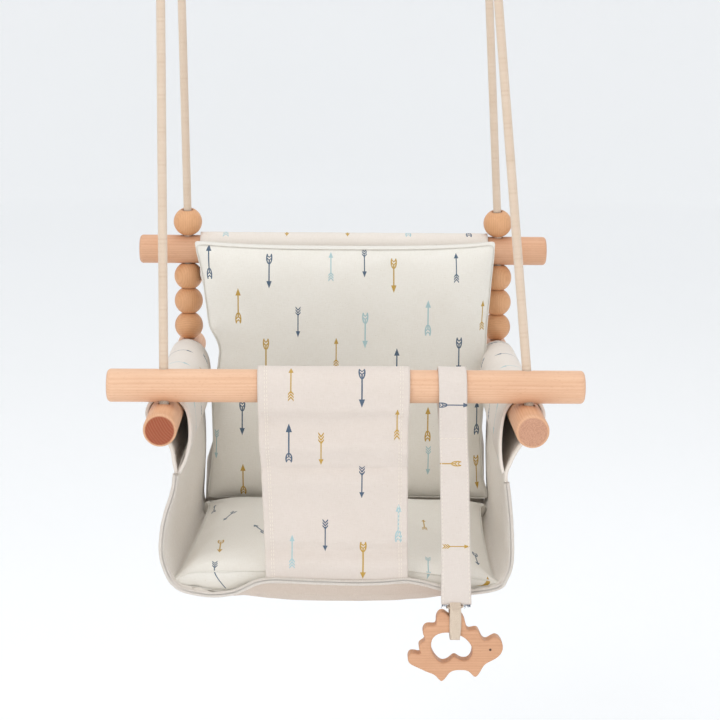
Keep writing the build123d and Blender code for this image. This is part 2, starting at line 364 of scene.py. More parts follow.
def beech(name, along, heart, light="e9bd97", dark="c98f65", end="c99170"):
    """Beech, grain along axis 0, 1 or 2. The growth rings are centred on heart, in metres."""
    material, n, shader = new_material(name, Specular_IOR_Level=0.42, Coat_Weight=0.08, Coat_Roughness=0.35)
    place = n.place()

    def along_grain(share):
        return n.scaled(place, [share if axis == along else 1.0 for axis in range(3)])

    from_heart = n.distance(place, heart, [float(axis != along) for axis in range(3)])
    wobble = n.noise(along_grain(0.06), 55.0, 3.0)
    phase = n.plus(n.times(from_heart, 2 * math.pi / (RING_MM * MM)), n.times(wobble, 9.0))
    rings = n.math("POWER", n.remap(n.math("SINE", phase), -1, 1), 2.2)
    streaks = n.noise(along_grain(0.02), 900.0, 3.0, 0.65)
    flecks = n.remap(n.noise(along_grain(0.12), 2600.0, 1.0), 0.62, 0.76)
    broad = n.noise(along_grain(1.0), 22.0, 2.0)
    tone = n.remap(n.weighted((rings, 0.16), (streaks, 0.50), (broad, 0.42)), 0.26, 0.98)
    colour = n.blend(tone, srgb(light), srgb(dark))
    colour = n.blend(n.times(flecks, 0.34), colour, FLECK)
    facing = n.split(n.add("TexCoord").outputs["Normal"])[along]
    on_end = n.remap(n.math("ABSOLUTE", facing), 0.80, 0.97)
    pores = n.noise(place, 1500.0, 2.0, 0.7)
    end_colour = n.blend(n.remap(rings, 0.0, 1.0, 0.0, 0.22), srgb(end), srgb(dark))
    end_colour = n.blend(n.remap(pores, 0.42, 0.75, 0.0, 0.6), end_colour, PORE)
    n.feed(n.blend(on_end, colour, end_colour), shader["Base Color"])
    n.feed(n.remap(streaks, 0.3, 0.7, 0.44, 0.58), shader["Roughness"])
    n.feed(n.bump(n.weighted((streaks, 0.5), (flecks, -0.5)), 0.00025, 0.5), shader["Normal"])
    return material


INK = {"navy": srgb("2d4f6c"), "gold": srgb("bd9422"), "sky": srgb("a6c6cb")}


def arrow_group():
    """Mask of one printed arrow: point up +Y, 34 mm long, centred on the origin.

    Style 0 has a leaf-shaped fletching, style 1 has stacked chevrons.
    """
    tree = bpy.data.node_groups.new("arrow", "ShaderNodeTree")
    sockets = (("Place", "INPUT", "Vector"), ("Style", "INPUT", "Float"), ("Mask", "OUTPUT", "Float"))
    for label, way, kind in sockets:
        tree.interface.new_socket(label, in_out=way, socket_type="NodeSocket" + kind)
    n = Nodes(tree)
    entry = tree.nodes.new("NodeGroupInput").outputs
    x, y, _ = n.split(entry["Place"])
    aside = n.math("ABSOLUTE", n.times(x, 1000.0))
    up = n.times(y, 1000.0)

    def within(value, low, high):
        return n.math("COMPARE", value, (low + high) / 2, (high - low) / 2)

    def stripes(value, half_pitch, half_width):
        """Bands across a value; the 40 keeps it positive."""
        return n.math("LESS_THAN", n.math("PINGPONG", n.plus(value, 40.0), half_pitch), half_width)

    head_edge = n.times(n.minus(17.0, up), 0.36)
    head = n.times(n.math("LESS_THAN", aside, head_edge), within(up, 10.0, 17.0))
    shaft = n.times(n.math("LESS_THAN", aside, 0.62), within(up, -10.0, 10.5))
    # Leaf: an outline with barbs inside it and a swallow tail
    leaf_t = n.math("DIVIDE", n.plus(up, 12.4), 6.4)
    leaf_w = n.math("SQRT", n.math("MAXIMUM", n.minus(1.0, n.times(leaf_t, leaf_t)), 0.0))
    leaf_w = n.times(leaf_w, 2.7)
    outline = n.times(n.math("COMPARE", n.minus(aside, leaf_w), -0.4, 0.62), within(up, -16.5, -6.0))
    barbs = stripes(n.plus(up, aside), 1.5, 0.72)
    inside = n.times(n.math("LESS_THAN", aside, leaf_w), within(up, -17.0, -9.0))
    notch = n.math("GREATER_THAN", n.plus(up, n.times(aside, 1.1)), -14.6)
    leaf = n.times(n.math("MAXIMUM", outline, n.times(barbs, inside)), notch)
    # Chevrons: solid barbs swept back, cut square at their tips
    swept = n.plus(up, n.times(aside, 1.15))
    chevrons = n.times(stripes(swept, 1.45, 0.92), n.math("LESS_THAN", aside, 2.8))
    chevrons = n.times(chevrons, within(swept, -15.5, -7.2))
    use_leaf = n.math("LESS_THAN", entry["Style"], 0.5)
    tail = n.math("MAXIMUM", n.times(leaf, use_leaf), n.times(chevrons, n.minus(1.0, use_leaf)))
    mask = n.math("MAXIMUM", n.math("MAXIMUM", head, shaft), tail)
    tree.links.new(mask, tree.nodes.new("NodeGroupOutput").inputs["Mask"])
    return tree


ARROW = arrow_group()


def weave(n, flat, shader, thread_mm=0.55, strength=0.8, extra_height=None):
    """Plain weave bump on the flat cut; gives which thread is on top, and the threads' slubs."""
    across, down, _ = n.split(flat)
    turns = math.pi / (thread_mm * MM)
    over = n.times(n.math("SINE", n.times(across, turns)), n.math("SINE", n.times(down, turns)))
    drawn_out = ((1.0, 0.12, 1.0), (0.12, 1.0, 1.0))
    slubs = n.plus(*[n.noise(n.scaled(flat, scale), 1400.0, 2.0) for scale in drawn_out])
    height = n.plus(n.times(over, 0.5), slubs)
    if extra_height is not None:
        height = n.plus(height, extra_height)
    n.feed(n.bump(height, 0.00022, strength), shader["Normal"])
    return over, slubs


STYLE_SIZE = (1.04, 0.86)


def canvas(name, cream, arrows=(), lattice=None, arrow_size=1.0):
    """Cotton canvas with the arrow print.

    arrows are placed one by one: (x, y, heading in degrees, ink, style), in millimetres
    on the flat cut. lattice is an offset in millimetres for the regular print.
    """
    material, n, shader = new_material(
        name, Roughness=0.88, Sheen_Weight=0.2, Sheen_Roughness=0.5, Specular_IOR_Level=0.25
    )
    flat = n.flat()
    over, slubs = weave(n, flat, shader)
    cloudy = n.noise(flat, 24.0, 3.0)
    tone = n.weighted((slubs, 0.30), (over, 0.10), (cloudy, 0.25))
    colour = n.blend(n.remap(tone, 0.20, 0.75), srgb(cream), shaded(cream, 0.86, 0.84, 0.80))
    nep = n.remap(n.noise(flat, 1100.0, 0.0), 0.80, 0.84)
    colour = n.blend(n.times(nep, 0.35), colour, srgb("b59a6a"))
    coverage = n.remap(n.plus(slubs, n.times(over, 0.25)), 0.6, 1.3, 1.0, 0.85)

    def print_arrow(place, style, ink, colour):
        group = n.add("Group", node_tree=ARROW, in_Place=place, in_Style=style)
        return n.blend(n.times(group.outputs["Mask"], coverage), colour, ink)

    for x, y, heading, ink, style in arrows:
        size = arrow_size * STYLE_SIZE[style]
        spot = {"in_Location": (x * MM, y * MM, 0), "in_Rotation": (0, 0, math.radians(heading))}
        place = n.add("Mapping", vector_type="TEXTURE", in_Vector=flat, in_Scale=(size, size, 1), **spot)
        colour = print_arrow(place.outputs[0], style, INK[ink], colour)
    if lattice is not None:
        colour = print_lattice(n, flat, lattice, print_arrow, colour)
    n.feed(colour, shader["Base Color"])
    return material


COLUMN = 30.0 * MM
REPEAT = 86.0 * MM


def print_lattice(n, flat, offset, print_arrow, colour):
    """The regular print: columns of arrows, every other one dropped by half a repeat."""
    x, y, _ = n.split(n.scaled(flat, (1, 1, 1), (offset[0] * MM, offset[1] * MM, 0)))
    across = n.math("DIVIDE", x, COLUMN)
    column = n.math("FLOOR", across)
    drop = n.times(n.math("MODULO", n.math("ABSOLUTE", column), 2.0), 0.5)
    down = n.plus(n.math("DIVIDE", y, REPEAT), drop)
    row = n.math("FLOOR", down)
    local_x = n.times(n.minus(n.minus(across, column), 0.5), COLUMN)
    local_y = n.times(n.minus(n.minus(down, row), 0.5), REPEAT)
    cell = n.add("CombineXYZ", in_X=column, in_Y=row).outputs[0]
    chance = n.add("TexWhiteNoise", noise_dimensions="2D", in_Vector=cell).outputs["Color"]
    heads, tails, inks = n.add("SeparateColor", in_Color=chance).outputs
    flip = n.remap(n.math("GREATER_THAN", heads, 0.5), 0.0, 1.0, -1.0, 1.0)
    place = n.add("CombineXYZ", in_X=local_x, in_Y=n.times(local_y, flip)).outputs[0]
    ink = n.blend(n.math("GREATER_THAN", inks, 0.45), INK["navy"], INK["gold"])
    ink = n.blend(n.math("GREATER_THAN", inks, 0.78), ink, INK["sky"])
    return print_arrow(place, n.math("GREATER_THAN", tails, 0.5), ink, colour)


RIB_MM = 1.3


def plain_cloth(name, cream, thread_mm=0.5, twill=False):
    """Undyed tape or lining."""
    material, n, shader = new_material(name, Roughness=0.9, Sheen_Weight=0.25, Specular_IOR_Level=0.2)
    flat = n.flat()
    ribs = None
    if twill:
        x, y, _ = n.split(flat)
        ribs = n.math("SINE", n.times(n.plus(x, y), 2 * math.pi / (RIB_MM * MM)))
    over, slubs = weave(n, flat, shader, thread_mm, 0.9, ribs)
    tone = n.weighted((slubs, 0.4), (over, 0.12), *([(ribs, 0.08)] if twill else []))
    colour = n.blend(n.remap(tone, 0.2, 0.7), srgb(cream), shaded(cream, 0.82, 0.79, 0.73))
    n.feed(colour, shader["Base Color"])
    return material


def cotton(name, base="ecdccb", groove_shade="c9ae93"):
    """Soft cotton yarn: fibres along it, and painted shade that darkens it between the strands."""
    material, n, shader = new_material(name, Roughness=0.95, Sheen_Weight=0.4, Specular_IOR_Level=0.15)
    fibres = n.noise(n.scaled(n.flat(), (1.0, 0.35, 1.0)), 3600.0, 3.0, 0.7)
    # Painted shade: how deep a point lies between the braid's strands darkens it, mixed with the fibres' own
    # tone
    depth = n.add("Attribute", attribute_name="groove_shade").outputs["Fac"]
    slow = n.noise(n.place(), 60.0, 2.0)
    tone = n.weighted((depth, 0.75), (fibres, 0.45), (slow, 0.25))
    n.feed(n.blend(n.remap(tone, 0.32, 1.05), srgb(base), srgb(groove_shade)), shader["Base Color"])
    n.feed(n.bump(fibres, 0.0003, 0.7), shader["Normal"])
    return material


def metal(name, colour, roughness):
    material, n, shader = new_material(name, Metallic=1.0)
    marks = n.noise(n.scaled(n.place(), (1, 1, 6)), 900.0, 3.0)
    n.feed(n.blend(n.remap(marks, 0.3, 0.7, 0.0, 0.4), srgb(colour), srgb("6f6b66")), shader["Base Color"])
    n.feed(n.remap(marks, 0.3, 0.7, roughness - 0.06, roughness + 0.1), shader["Roughness"])
    n.feed(n.bump(marks, 0.00005, 0.5), shader["Normal"])
    return material


# ---------------------------------------------------------------- camera, light and room

CAMERA_PLACE = (-19.96, -1589.7, 356.7)
CAMERA_DOWN, CAMERA_TURN, CAMERA_ROLL = (math.radians(angle) for angle in (10.888, 1.1306, -0.4923))


def set_camera():
    """At the viewer's place: a long lens, looking a little down, with a slight roll."""
    data = bpy.data.cameras.new("camera")
    data.sensor_width = 36.0
    data.lens = 96.27
    data.clip_end = 50.0
    camera = new_object("camera", data)
    sideways, onward = math.sin(CAMERA_TURN), math.cos(CAMERA_TURN)
    ahead = Vector((sideways * math.cos(CAMERA_DOWN), onward * math.cos(CAMERA_DOWN), -math.sin(CAMERA_DOWN)))
    level = Vector((onward, -sideways, 0))
    under = ahead.cross(level)
    right = math.cos(CAMERA_ROLL) * level + math.sin(CAMERA_ROLL) * under
    below = -math.sin(CAMERA_ROLL) * level + math.cos(CAMERA_ROLL) * under
    turned = Matrix((right, -below, -ahead)).transposed().to_4x4()
    camera.matrix_world = Matrix.Translation(at(*CAMERA_PLACE)) @ turned
    bpy.context.scene.camera = camera


def area_light(name, place, size, power, colour=(1, 1, 1)):
    """A soft lamp that faces the seat."""
    data = bpy.data.lights.new(name, "AREA")
    data.shape = "RECTANGLE"
    data.size, data.size_y = size
    data.energy = power
    data.color = colour
    light = new_object(name, data)
    light.location = place
    light.rotation_euler = (Vector((0.0, 0.0, SIDE_Z)) - Vector(place)).to_track_quat("-Z", "Y").to_euler()
    light.visible_camera = False


FLOOR_DROP = 0.55
COVE_PROFILE = [(0, 0), (5.5, 0), (6.5, 0.12), (7.4, 0.5), (8.1, 1.2), (8.4, 2.2), (8.5, 4), (8.5, 5.5)]


def set_room():
    """A round studio: a pale floor well below the seat that turns up into its wall."""
    around = 96
    line = smooth_line(COVE_PROFILE, 8)[1:]
    angles = [2 * math.pi * j / around for j in range(around)]
    floor_z = SIDE_Z - FLOOR_DROP
    points = [(r * math.cos(angle), r * math.sin(angle), floor_z + z) for r, z in line for angle in angles]
    faces = [tuple(range(around))] + [face[::-1] for face in grid_faces(len(line), around, wrap=True)]
    glow = {"Emission_Color": (1.0, 1.0, 1.0, 1.0), "Emission_Strength": 0.09}
    material, n, shader = new_material("pale_studio", Roughness=0.95, Specular_IOR_Level=0.1, **glow)
    n.feed(n.blend(n.noise(n.place(), 0.8, 2.0), srgb("f3f4f5"), srgb("f6f7f8")), shader["Base Color"])
    paint(mesh_object("studio", points, faces), material)
    world = bpy.data.worlds.new("world")
    bpy.context.scene.world = world
    world.use_nodes = True
    sky = world.node_tree.nodes["Background"].inputs
    sky["Color"].default_value = (0.97, 0.985, 1.0, 1.0)
    sky["Strength"].default_value = 0.82
    area_light("key", (-1.5, -2.2, 1.6), (1.3, 1.3), 19, (1.0, 0.985, 0.965))
    area_light("fill", (0.3, -2.9, -0.7), (1.6, 1.2), 12, (1.0, 0.985, 0.97))
    area_light("top", (0.1, 0.2, 1.9), (1.6, 1.3), 15)


set_camera()
set_room()
bpy.context.scene.view_settings.view_transform = "Standard"

# ---------------------------------------------------------------- rods and beads

for name, along, node, heart, look in (
    ("beech_front_bar", 0, "front_bar", (0, 0.021, -0.045), {"light": "ecc3a2", "dark": "d19d79"}),
    ("beech_back_bar", 0, "back_bar", (0, -0.018, 0.038), {"light": "e2b492", "dark": "c48c68"}),
    ("beech_left_rod", 1, "left_side_rod", (0.03, 0, 0.02), {"light": "e6b894", "end": "9c4826"}),
    ("beech_right_rod", 1, "right_side_rod", (-0.026, 0, -0.014), {"light": "e4b592", "end": "cb9a7e"}),
):
    paint(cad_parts[node], beech(name, along, tuple(centre_of(node) + Vector(heart)), **look))

# Each bead's grain axis, and how far off its centre the tree's heart lies
BEAD_GRAIN = {"lower_spacer": (0, 0.009), "middle_spacer": (2, 0.017), "upper_spacer": (2, 0.024),
              "top": (2, 0.013)}
for which, sign in SIDES.items():
    for level, (along, off) in BEAD_GRAIN.items():
        node = f"{which}_{level}_bead"
        heart = tuple(centre_of(node) + Vector((sign * off, -off, off)))
        paint(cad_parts[node], beech(f"beech_{node}", along, heart, "e4b083", "c58a5c", "cf9a70"))

# ---------------------------------------------------------------- ropes

ROPE_D = 0.008
BRAID_CARRIERS = 10
BRAID_PITCH = 0.0215

# Corner points, from the knot up to the hang ring and back to the tail, in metres. The
# points near the holes and below the rings keep the long taut stretch straight.
ROUTES = {
    "front_left": [
        (-0.15325, -0.18443, -0.7433), (-0.15325, -0.18443, -0.7260), (-0.15408, -0.17295, -0.6797),
        (-0.16537, -0.01711, -0.0385), (-0.16623, -0.00544, 0.00894), (-0.16623, 0.00894, 0.00544),
        (-0.16586, 0.00388, -0.01535), (-0.16552, -0.00688, -0.03331), (-0.16486, -0.01587, -0.07023),
    ],
    "back_left": [
        (-0.1535, 0.1262, -0.7433), (-0.1535, 0.1262, -0.6700), (-0.1535, 0.1262, -0.6230),
        (-0.15376, 0.11723, -0.5758), (-0.15668, 0.01490, -0.0386), (-0.15694, 0.00588, 0.00865),
        (-0.15694, -0.00865, 0.00588), (-0.15683, -0.00465, -0.01514), (-0.15672, 0.00518, -0.03362),
        (-0.15651, 0.01229, -0.07095),
    ],
    "front_right": [
        (0.15463, -0.18443, -0.7433), (0.15463, -0.18443, -0.7260), (0.15093, -0.17298, -0.6798),
        (0.10057, -0.01709, -0.0384), (0.09684, -0.00544, 0.00892), (0.09684, 0.00894, 0.00542),
        (0.09847, 0.00389, -0.01531), (0.09999, -0.00686, -0.03322), (0.10288, -0.01582, -0.07004),
    ],
    "back_right": [
        (0.1535, 0.1262, -0.7433), (0.1535, 0.1262, -0.6700), (0.1535, 0.1262, -0.6230),
        (0.14997, 0.11724, -0.5759), (0.10960, 0.01486, -0.0385), (0.10606, 0.00589, 0.00863),
        (0.10606, -0.00865, 0.00586), (0.10763, -0.00466, -0.01510), (0.10910, 0.00517, -0.03353),
        (0.11190, 0.01226, -0.07076),
    ],
}


def route_line(name, points, spacing):
    """Points along the NURBS spline that these control points make, and its length."""
    data = bpy.data.curves.new(name, "CURVE")
    data.dimensions = "3D"
    spline = data.splines.new("NURBS")
    spline.points.add(len(points) - 1)
    for point, place in zip(spline.points, points):
        point.co = (*place, 1.0)
    spline.order_u = 3
    spline.use_endpoint_u = True
    spline.resolution_u = 60
    holder = new_object(name, data)
    mesh = bpy.data.meshes.new_from_object(holder)
    line = np.array([v.co for v in mesh.vertices])
    bpy.data.objects.remove(holder)
    bpy.data.meshes.remove(mesh)
    return evenly(line, max(4, round(lengths_along(line)[-1] / spacing)))


def braided(name, line, length, around=30):
    """A round braid: strands wound both ways round the rope, raised where one lies on top."""
    phase = random.Random(name).uniform(0, 6.28)
    step = length / (len(line) - 1)

    def crossing(k, angle):
        turn = 2 * math.pi * k * step / BRAID_PITCH
        one = math.cos(BRAID_CARRIERS / 2 * (angle - turn) + phase)
        other = math.cos(BRAID_CARRIERS / 2 * (angle + turn) - phase)
        return math.sqrt(abs(one * other))

    def surface(k, angle):
        slack = 0.012 * noise.noise(Vector((k * step * 160, phase, 0)))
        return 0.90 + 0.11 * crossing(k, angle) + slack

    rope = tube(name, line, ROPE_D / 2, around, profile=surface)
    # How deep each point lies between the strands, read by the rope's material as painted shade
    groove_shade = rope.data.attributes.new("groove_shade", "FLOAT", "POINT")
    angles = [2 * math.pi * j / around for j in range(around)]
    groove_shade.data.foreach_set("value", [1 - crossing(k, angle) for k in range(len(line)) for angle in angles])
    return rope


WHIPPING_TURNS = 13
WHIPPING_LENGTH = 0.019
WHIPPING_WIRE = 0.0015


def whipping_thread(name, line, start, gap):
    """Thread wound round the rope and its tail, which lies gap away, from start on."""
    run = lengths_along(line)
    per_turn = 28
    count = WHIPPING_TURNS * per_turn
    apart = np.linalg.norm(gap)
    radius = ROPE_D / 2 + WHIPPING_WIRE * 0.45
    points = []
    for k in range(count + 1):
        along = start + WHIPPING_LENGTH * k / count
        centre = point_at(line, run, along)
        ahead = unit(point_at(line, run, along + 0.002) - centre)
        aside = gap / apart
        aside = unit(aside - ahead * aside.dot(ahead))
        out = np.cross(ahead, aside)
        angle = 2 * math.pi * k / per_turn
        flat = math.cos(angle)
        reach = radius * flat + apart / 2 * math.copysign(min(1.0, abs(flat) * 3), flat)
        points.append(centre + aside * (apart / 2 + reach) + out * radius * math.sin(angle))
    return tube(name, points, WHIPPING_WIRE / 2, 8)


# Points of a rope's line that are all in its tail
TAIL_POINTS = 60
TAIL = 0.05

rope_cotton = cotton("rope_cotton")
thread_cotton = cotton("thread_cotton", "f2e9dc", "c5b299")
for end_side, points in ROUTES.items():
    line, length = route_line(f"{end_side}_route", points, 0.0009)
    rope = paint(braided(f"{end_side}_rope_braid", line, length), rope_cotton)
    dress(rope, "seat", "cotton_rope", f"{end_side}_rope")
    # The whipping closes the eye: its centre line runs between the rope and its tail
    from_binding = np.linalg.norm(line - np.array(centre_of(f"{end_side}_rope_binding")), axis=1)
    run = lengths_along(line)
    own = int(np.argmin(from_binding[:-TAIL_POINTS]))
    in_tail = int(np.argmin(np.where(run > run[-1] - TAIL, from_binding, 9)))
    thread = whipping_thread(
        f"{end_side}_whipping", line, run[own] - WHIPPING_LENGTH / 2, line[in_tail] - line[own]
    )
    dress(paint(thread, thread_cotton), "seat", "binding_thread", f"{end_side}_rope_binding")
    knot = paint(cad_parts[f"{end_side}_knot"], rope_cotton)

ring_steel = metal("ring_steel", "c9cac9", 0.28)
for which in SIDES:
    paint(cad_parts[f"{which}_hang_ring"], ring_steel)

# ---------------------------------------------------------------- sheets

CANVAS_MM = 1.7


def normals_of(grid):
    """Unit normals of a grid of points, rows by columns."""
    normal = np.cross(np.gradient(grid, axis=1), np.gradient(grid, axis=0))
    return normal / np.maximum(np.linalg.norm(normal, axis=2, keepdims=True), 1e-9)


def sheet_mesh(name, grid, flat, thickness):
    """A woven sheet: its two faces, and its cut edge all round.

    grid is rows by columns of seat-coordinate points, and flat the same places on the
    cut cloth in millimetres. The back face takes the second material, if there is one.
    """
    rows, cols = grid.shape[:2]
    half = normals_of(grid) * (np.broadcast_to(thickness, (rows, cols))[..., None] / 2)
    faces = grid_faces(rows, cols)
    total = rows * cols
    back = [tuple(total + k for k in face[::-1]) for face in faces]
    loop = grid_edge(rows, cols)
    edge = [(b, a, a + total, b + total) for a, b in zip(loop, loop[1:] + loop[:1])]
    both = np.concatenate([(grid + half).reshape(-1, 3), (grid - half).reshape(-1, 3)])
    uvs = [(u * MM, v * MM) for u, v in flat.reshape(-1, 2)] * 2
    obj = mesh_object(name, [at(*p) for p in both], faces + back + edge, uvs)
    for face in obj.data.polygons[len(faces) : 2 * len(faces)]:
        face.material_index = 1
    return obj


def cut_length(flat):
    """How far a flat cut reaches along the cloth, in metres."""
    return float(np.ptp(flat[..., 1])) * MM


STITCH_MM = 2.7
STITCH_GAP = 0.9
STITCH_R = 0.26
STITCH_RINGS = ((0, -0.8, 0.4), (0.2, 0.2, 0.95), (0.5, 0.5, 1), (0.8, 0.2, 0.95), (1, -0.8, 0.4))


def stitching(name, rows):
    """Rows of stitches in one object: each row is a line, its normals and its lift.

    A stitch is five rings: how far along it they are, how high, and how wide.
    """
    around = 6
    points, faces = [], []
    for line, normals, lift in rows:
        run = lengths_along(line)
        for start in np.arange(1.0, run[-1] - STITCH_MM, STITCH_MM + STITCH_GAP):
            stitch = grid_faces(len(STITCH_RINGS), around, wrap=True)
            faces += [tuple(len(points) + k for k in face) for face in stitch]
            for share, rise, girth in STITCH_RINGS:
                along = start + STITCH_MM * share
                centre = point_at(line, run, along)
                normal = point_at(normals, run, along)
                side = np.cross(unit(point_at(line, run, along + 1) - centre), normal)
                centre = centre + normal * (lift + rise * STITCH_R)
                for j in range(around):
                    angle = 2 * math.pi * j / around
                    spoke = math.cos(angle) * side + math.sin(angle) * normal
                    points.append(centre + spoke * girth * STITCH_R)
    uvs = [(p[0] * MM, p[2] * MM) for p in points]
    return paint(mesh_object(name, [at(*p) for p in points], faces, uvs), thread_cotton)


def seam_across(grid, i, face=1):
    return grid[i], normals_of(grid)[i] * face, CANVAS_MM / 2


def seam_down(grid, j, face=1):
    return grid[:, j], normals_of(grid)[:, j] * face, CANVAS_MM / 2


def strip(profile, rows, cols, edges, ripple):
    """A band of cloth: a profile of (y, z) points, as wide as edges(z) says.

    ripple(x, along) moves it out along its normal. Also gives the distance along the
    cloth at which its first, front layer passes a height.
    """
    line, _ = evenly(smooth_line(profile, 8), rows)
    run = lengths_along(line)
    grid = np.array([[(mix(*edges(z), j / (cols - 1)), y, z) for j in range(cols)] for y, z in line])
    flat = np.array([[(p[0], along) for p in row] for row, along in zip(grid, run)])
    lift = np.array([[ripple(x, along) for x, along in row] for row in flat])
    top = int(np.argmax(line[:, 1]))

    def up_cloth(z):
        return float(np.interp(z, line[:top, 1], run[:top]))

    return grid + normals_of(grid) * lift[..., None], flat, up_cloth


# ---------------------------------------------------------------- side panels and base

DEPTH_ROWS = 48

# A side panel's section at the front rim and at its back edge: distance inwards from
# the rod's axis, and height. It starts at the seam under the rod, goes up the rod's
# inner side, over it and back to the seam, then down the wall to the base's corner.
OVER_ROD = [(0, 16.2), (-10.6, 12.4), (-16, 2), (-13.4, -9)]
SECTIONS = {
    "left": (
        [(10.6, -52), (16, -41), (20, -25), (20.4, -9), (17.6, 4), (10.4, 12.6), *OVER_ROD, (-7, -18),
         (1, -24), (5, -32), (6.4, -42), (8.2, -54), (5.2, -70), (-2, -94), (-4.6, -122), (1.4, -143),
         (10, -153), (21, -157.2)],
        [(18, -48), (20.4, -38), (22, -22), (21.4, -6), (17.6, 5), (10.4, 12.8), *OVER_ROD, (-6, -18),
         (2, -26), (9, -34), (12.6, -42), (15.6, -52), (17, -70), (17, -94), (15.6, -122), (15, -140),
         (18, -150), (25, -153.5)],
    ),
    "right": (
        [(17.6, -51), (19.8, -41), (20.8, -26), (20, -9), (17.2, 4), (10.4, 12.8), *OVER_ROD, (-6, -18),
         (2, -25), (8, -34), (12, -43), (15.2, -53), (13.2, -70), (10.6, -94), (9.4, -117), (10, -134),
         (17, -150), (27, -155.5)],
        [(11, -48), (14.8, -38), (18, -24), (19, -9), (17, 4), (10.4, 12.8), *OVER_ROD, (-7, -18),
         (0, -25), (4, -33), (6.8, -42), (8.6, -52), (9.4, -70), (9.4, -94), (8.4, -122), (8, -138),
         (12, -150), (20, -153.5)],
    ),
}


def side_section(which, share, count=104):
    """The panel's section at a share of the seat's depth, as even (x, z) points."""
    front, back = (np.array(section, float) for section in SECTIONS[which])
    line, length = evenly(smooth_line(mix(front, back, ease(share)), 8), count)
    return np.stack([SIDES[which] * (SIDE_X - line[:, 0]), line[:, 1]], axis=1), length


def side_panel(which):
    """Grid and flat cut of a side panel, outer face first."""
    sign = SIDES[which]
    grid, flat = [], []
    for share in np.arange(DEPTH_ROWS) / (DEPTH_ROWS - 1):
        y = mix(RIM_Y, SEAT_END, share)
        section, length = side_section(which, share)
        held = ease(share * 8) * ease((1 - share) * 8)
        row, cut = [], []
        for j, (x, z) in enumerate(section):
            along = length * j / (len(section) - 1)
            loose = bell(along, 22, 13) + bell(along, length - 58, 30)
            fold = 2.0 * wander(y + 30 * sign, along * 0.4, 3.7 + sign, 36)
            fold += 0.8 * wander(y, along, 9.1 + sign, 14)
            x -= sign * (1.2 + fold) * loose * held * 0.9
            hem_wave = 0.9 * wander(along, 0, 5.5 * sign, 20) * (1 - ease(share * 8))
            row.append((x, y + hem_wave, z))
            cut.append((y, along))
        grid.append(row[::sign])
        flat.append(cut[::sign])
    return np.array(grid), np.array(flat)


RIM_CURVE = smooth_line(
    [(-133.5, -157.2), (-118, -159.2), (-99.2, -158.2), (-84, -152), (-67.8, -146.2), (-38.7, -146.9),
     (13.4, -148.4), (40, -147), (55.1, -146), (68, -148.8), (83.1, -153), (104, -157), (127.5, -155.6)],
    10,
)
BELLY = [(0, 0), (8, -8), (16, -15), (30, -21), (60, -23), (120, -21), (200, -16), (266, -8)]


def base_height(x, y):
    """Height of the seat base: drawn up at the middle of the rim, sagging behind it."""
    behind = y - RIM_Y
    inside = max(1 - abs(x / 132) ** 3.2, 0)
    sag = read_off(behind, BELLY) * inside
    pucker = wander(x, behind * 0.4, 2.2, 13) * bell(behind, 16, 12) * inside
    return mix(read_off(x, RIM_CURVE), -154.5, ease(behind / 38)) + sag + pucker


def seat_base(rows=60, cols=80):
    """Grid of the base. Its rows lie closer together towards the rim, where it puckers."""
    grid = []
    for i in range(rows):
        share = (i / (rows - 1)) ** 1.5
        ends = [side_section(which, share)[0][-1] for which in SIDES]
        y = mix(RIM_Y, SEAT_END, share)
        row = []
        for across in np.arange(cols) / (cols - 1):
            x, join_z = mix(*ends, across)
            row.append((x, y, mix(join_z, base_height(x, y), ease(min(across, 1 - across) * 14))))
        grid.append(row[::-1])
    return np.array(grid)


SHELL = "efe7df"
CREAM = "f4f1ea"
HEM_MM = 8
WALL_SEAM = (-62, -56)

seat_trim = []
# The plain reverse is a lighter cream than the printed face: painted light that brightens the inside of the
# seat
inner_canvas = plain_cloth("canvas_reverse_lightened", "fdf7f0", 0.55)
for which, sign in SIDES.items():
    grid, flat = side_panel(which)
    hem = 1 + 0.7 * (flat[..., 0] < RIM_Y + HEM_MM)
    printed = canvas(f"canvas_{which}_side", SHELL, lattice=(7 + 5 * sign, 3))
    panel = paint(sheet_mesh(f"{which}_side_canvas", grid, flat, CANVAS_MM * hem), printed, inner_canvas)
    dress(panel, "seat", "printed_canvas", f"{which}_side_panel")
    size = (cut_length(flat), (SEAT_END - RIM_Y) * MM)
    seat_trim += [seam_across(grid, row, face) for row in (2, DEPTH_ROWS - 3) for face in (1, -1)]
    heights = grid[0, :, 2]
    column = int(np.argmax((heights > WALL_SEAM[0]) & (heights < WALL_SEAM[1])))
    seat_trim.append((grid[:, column], np.tile((sign, 0.0, 0.0), (DEPTH_ROWS, 1)), CANVAS_MM / 2))

grid = seat_base()
base = sheet_mesh("seat_base_canvas", grid, grid[..., :2], CANVAS_MM)
# The base's outer face is a darker pinkish-brown than the rest of the cloth: painted shade for the underside,
# which faces down out of the light
paint(base, plain_cloth("canvas_base_shaded", "d9c9bc", 0.55), inner_canvas)
dress(base, "seat", "printed_canvas", "seat_base")

# ---------------------------------------------------------------- rim piping

PIPING_Y = 13.2
PIPING_R = 2.6
CLEAR_OF_TOY = 1.4


def rim_line():
    """The piping's centre line: down the left wall's edge, along the base, up the right."""
    def lower_wall(which):
        section = side_section(which, 0)[0]
        wall = section[len(section) // 2 :]
        return wall[wall[:, 1] < -50][:-3]

    low = RIM_CURVE[(RIM_CURVE[:, 0] > -122) & (RIM_CURVE[:, 0] < 118)]
    corners = [lower_wall("left")[::4], low[::7], lower_wall("right")[::-1][::4]]
    return smooth_line(np.concatenate(corners), 10)


def piping_shape(k, angle):
    return 1 + 0.06 * wander(k * 1.5, math.cos(angle) * 3, 1.7, 6)


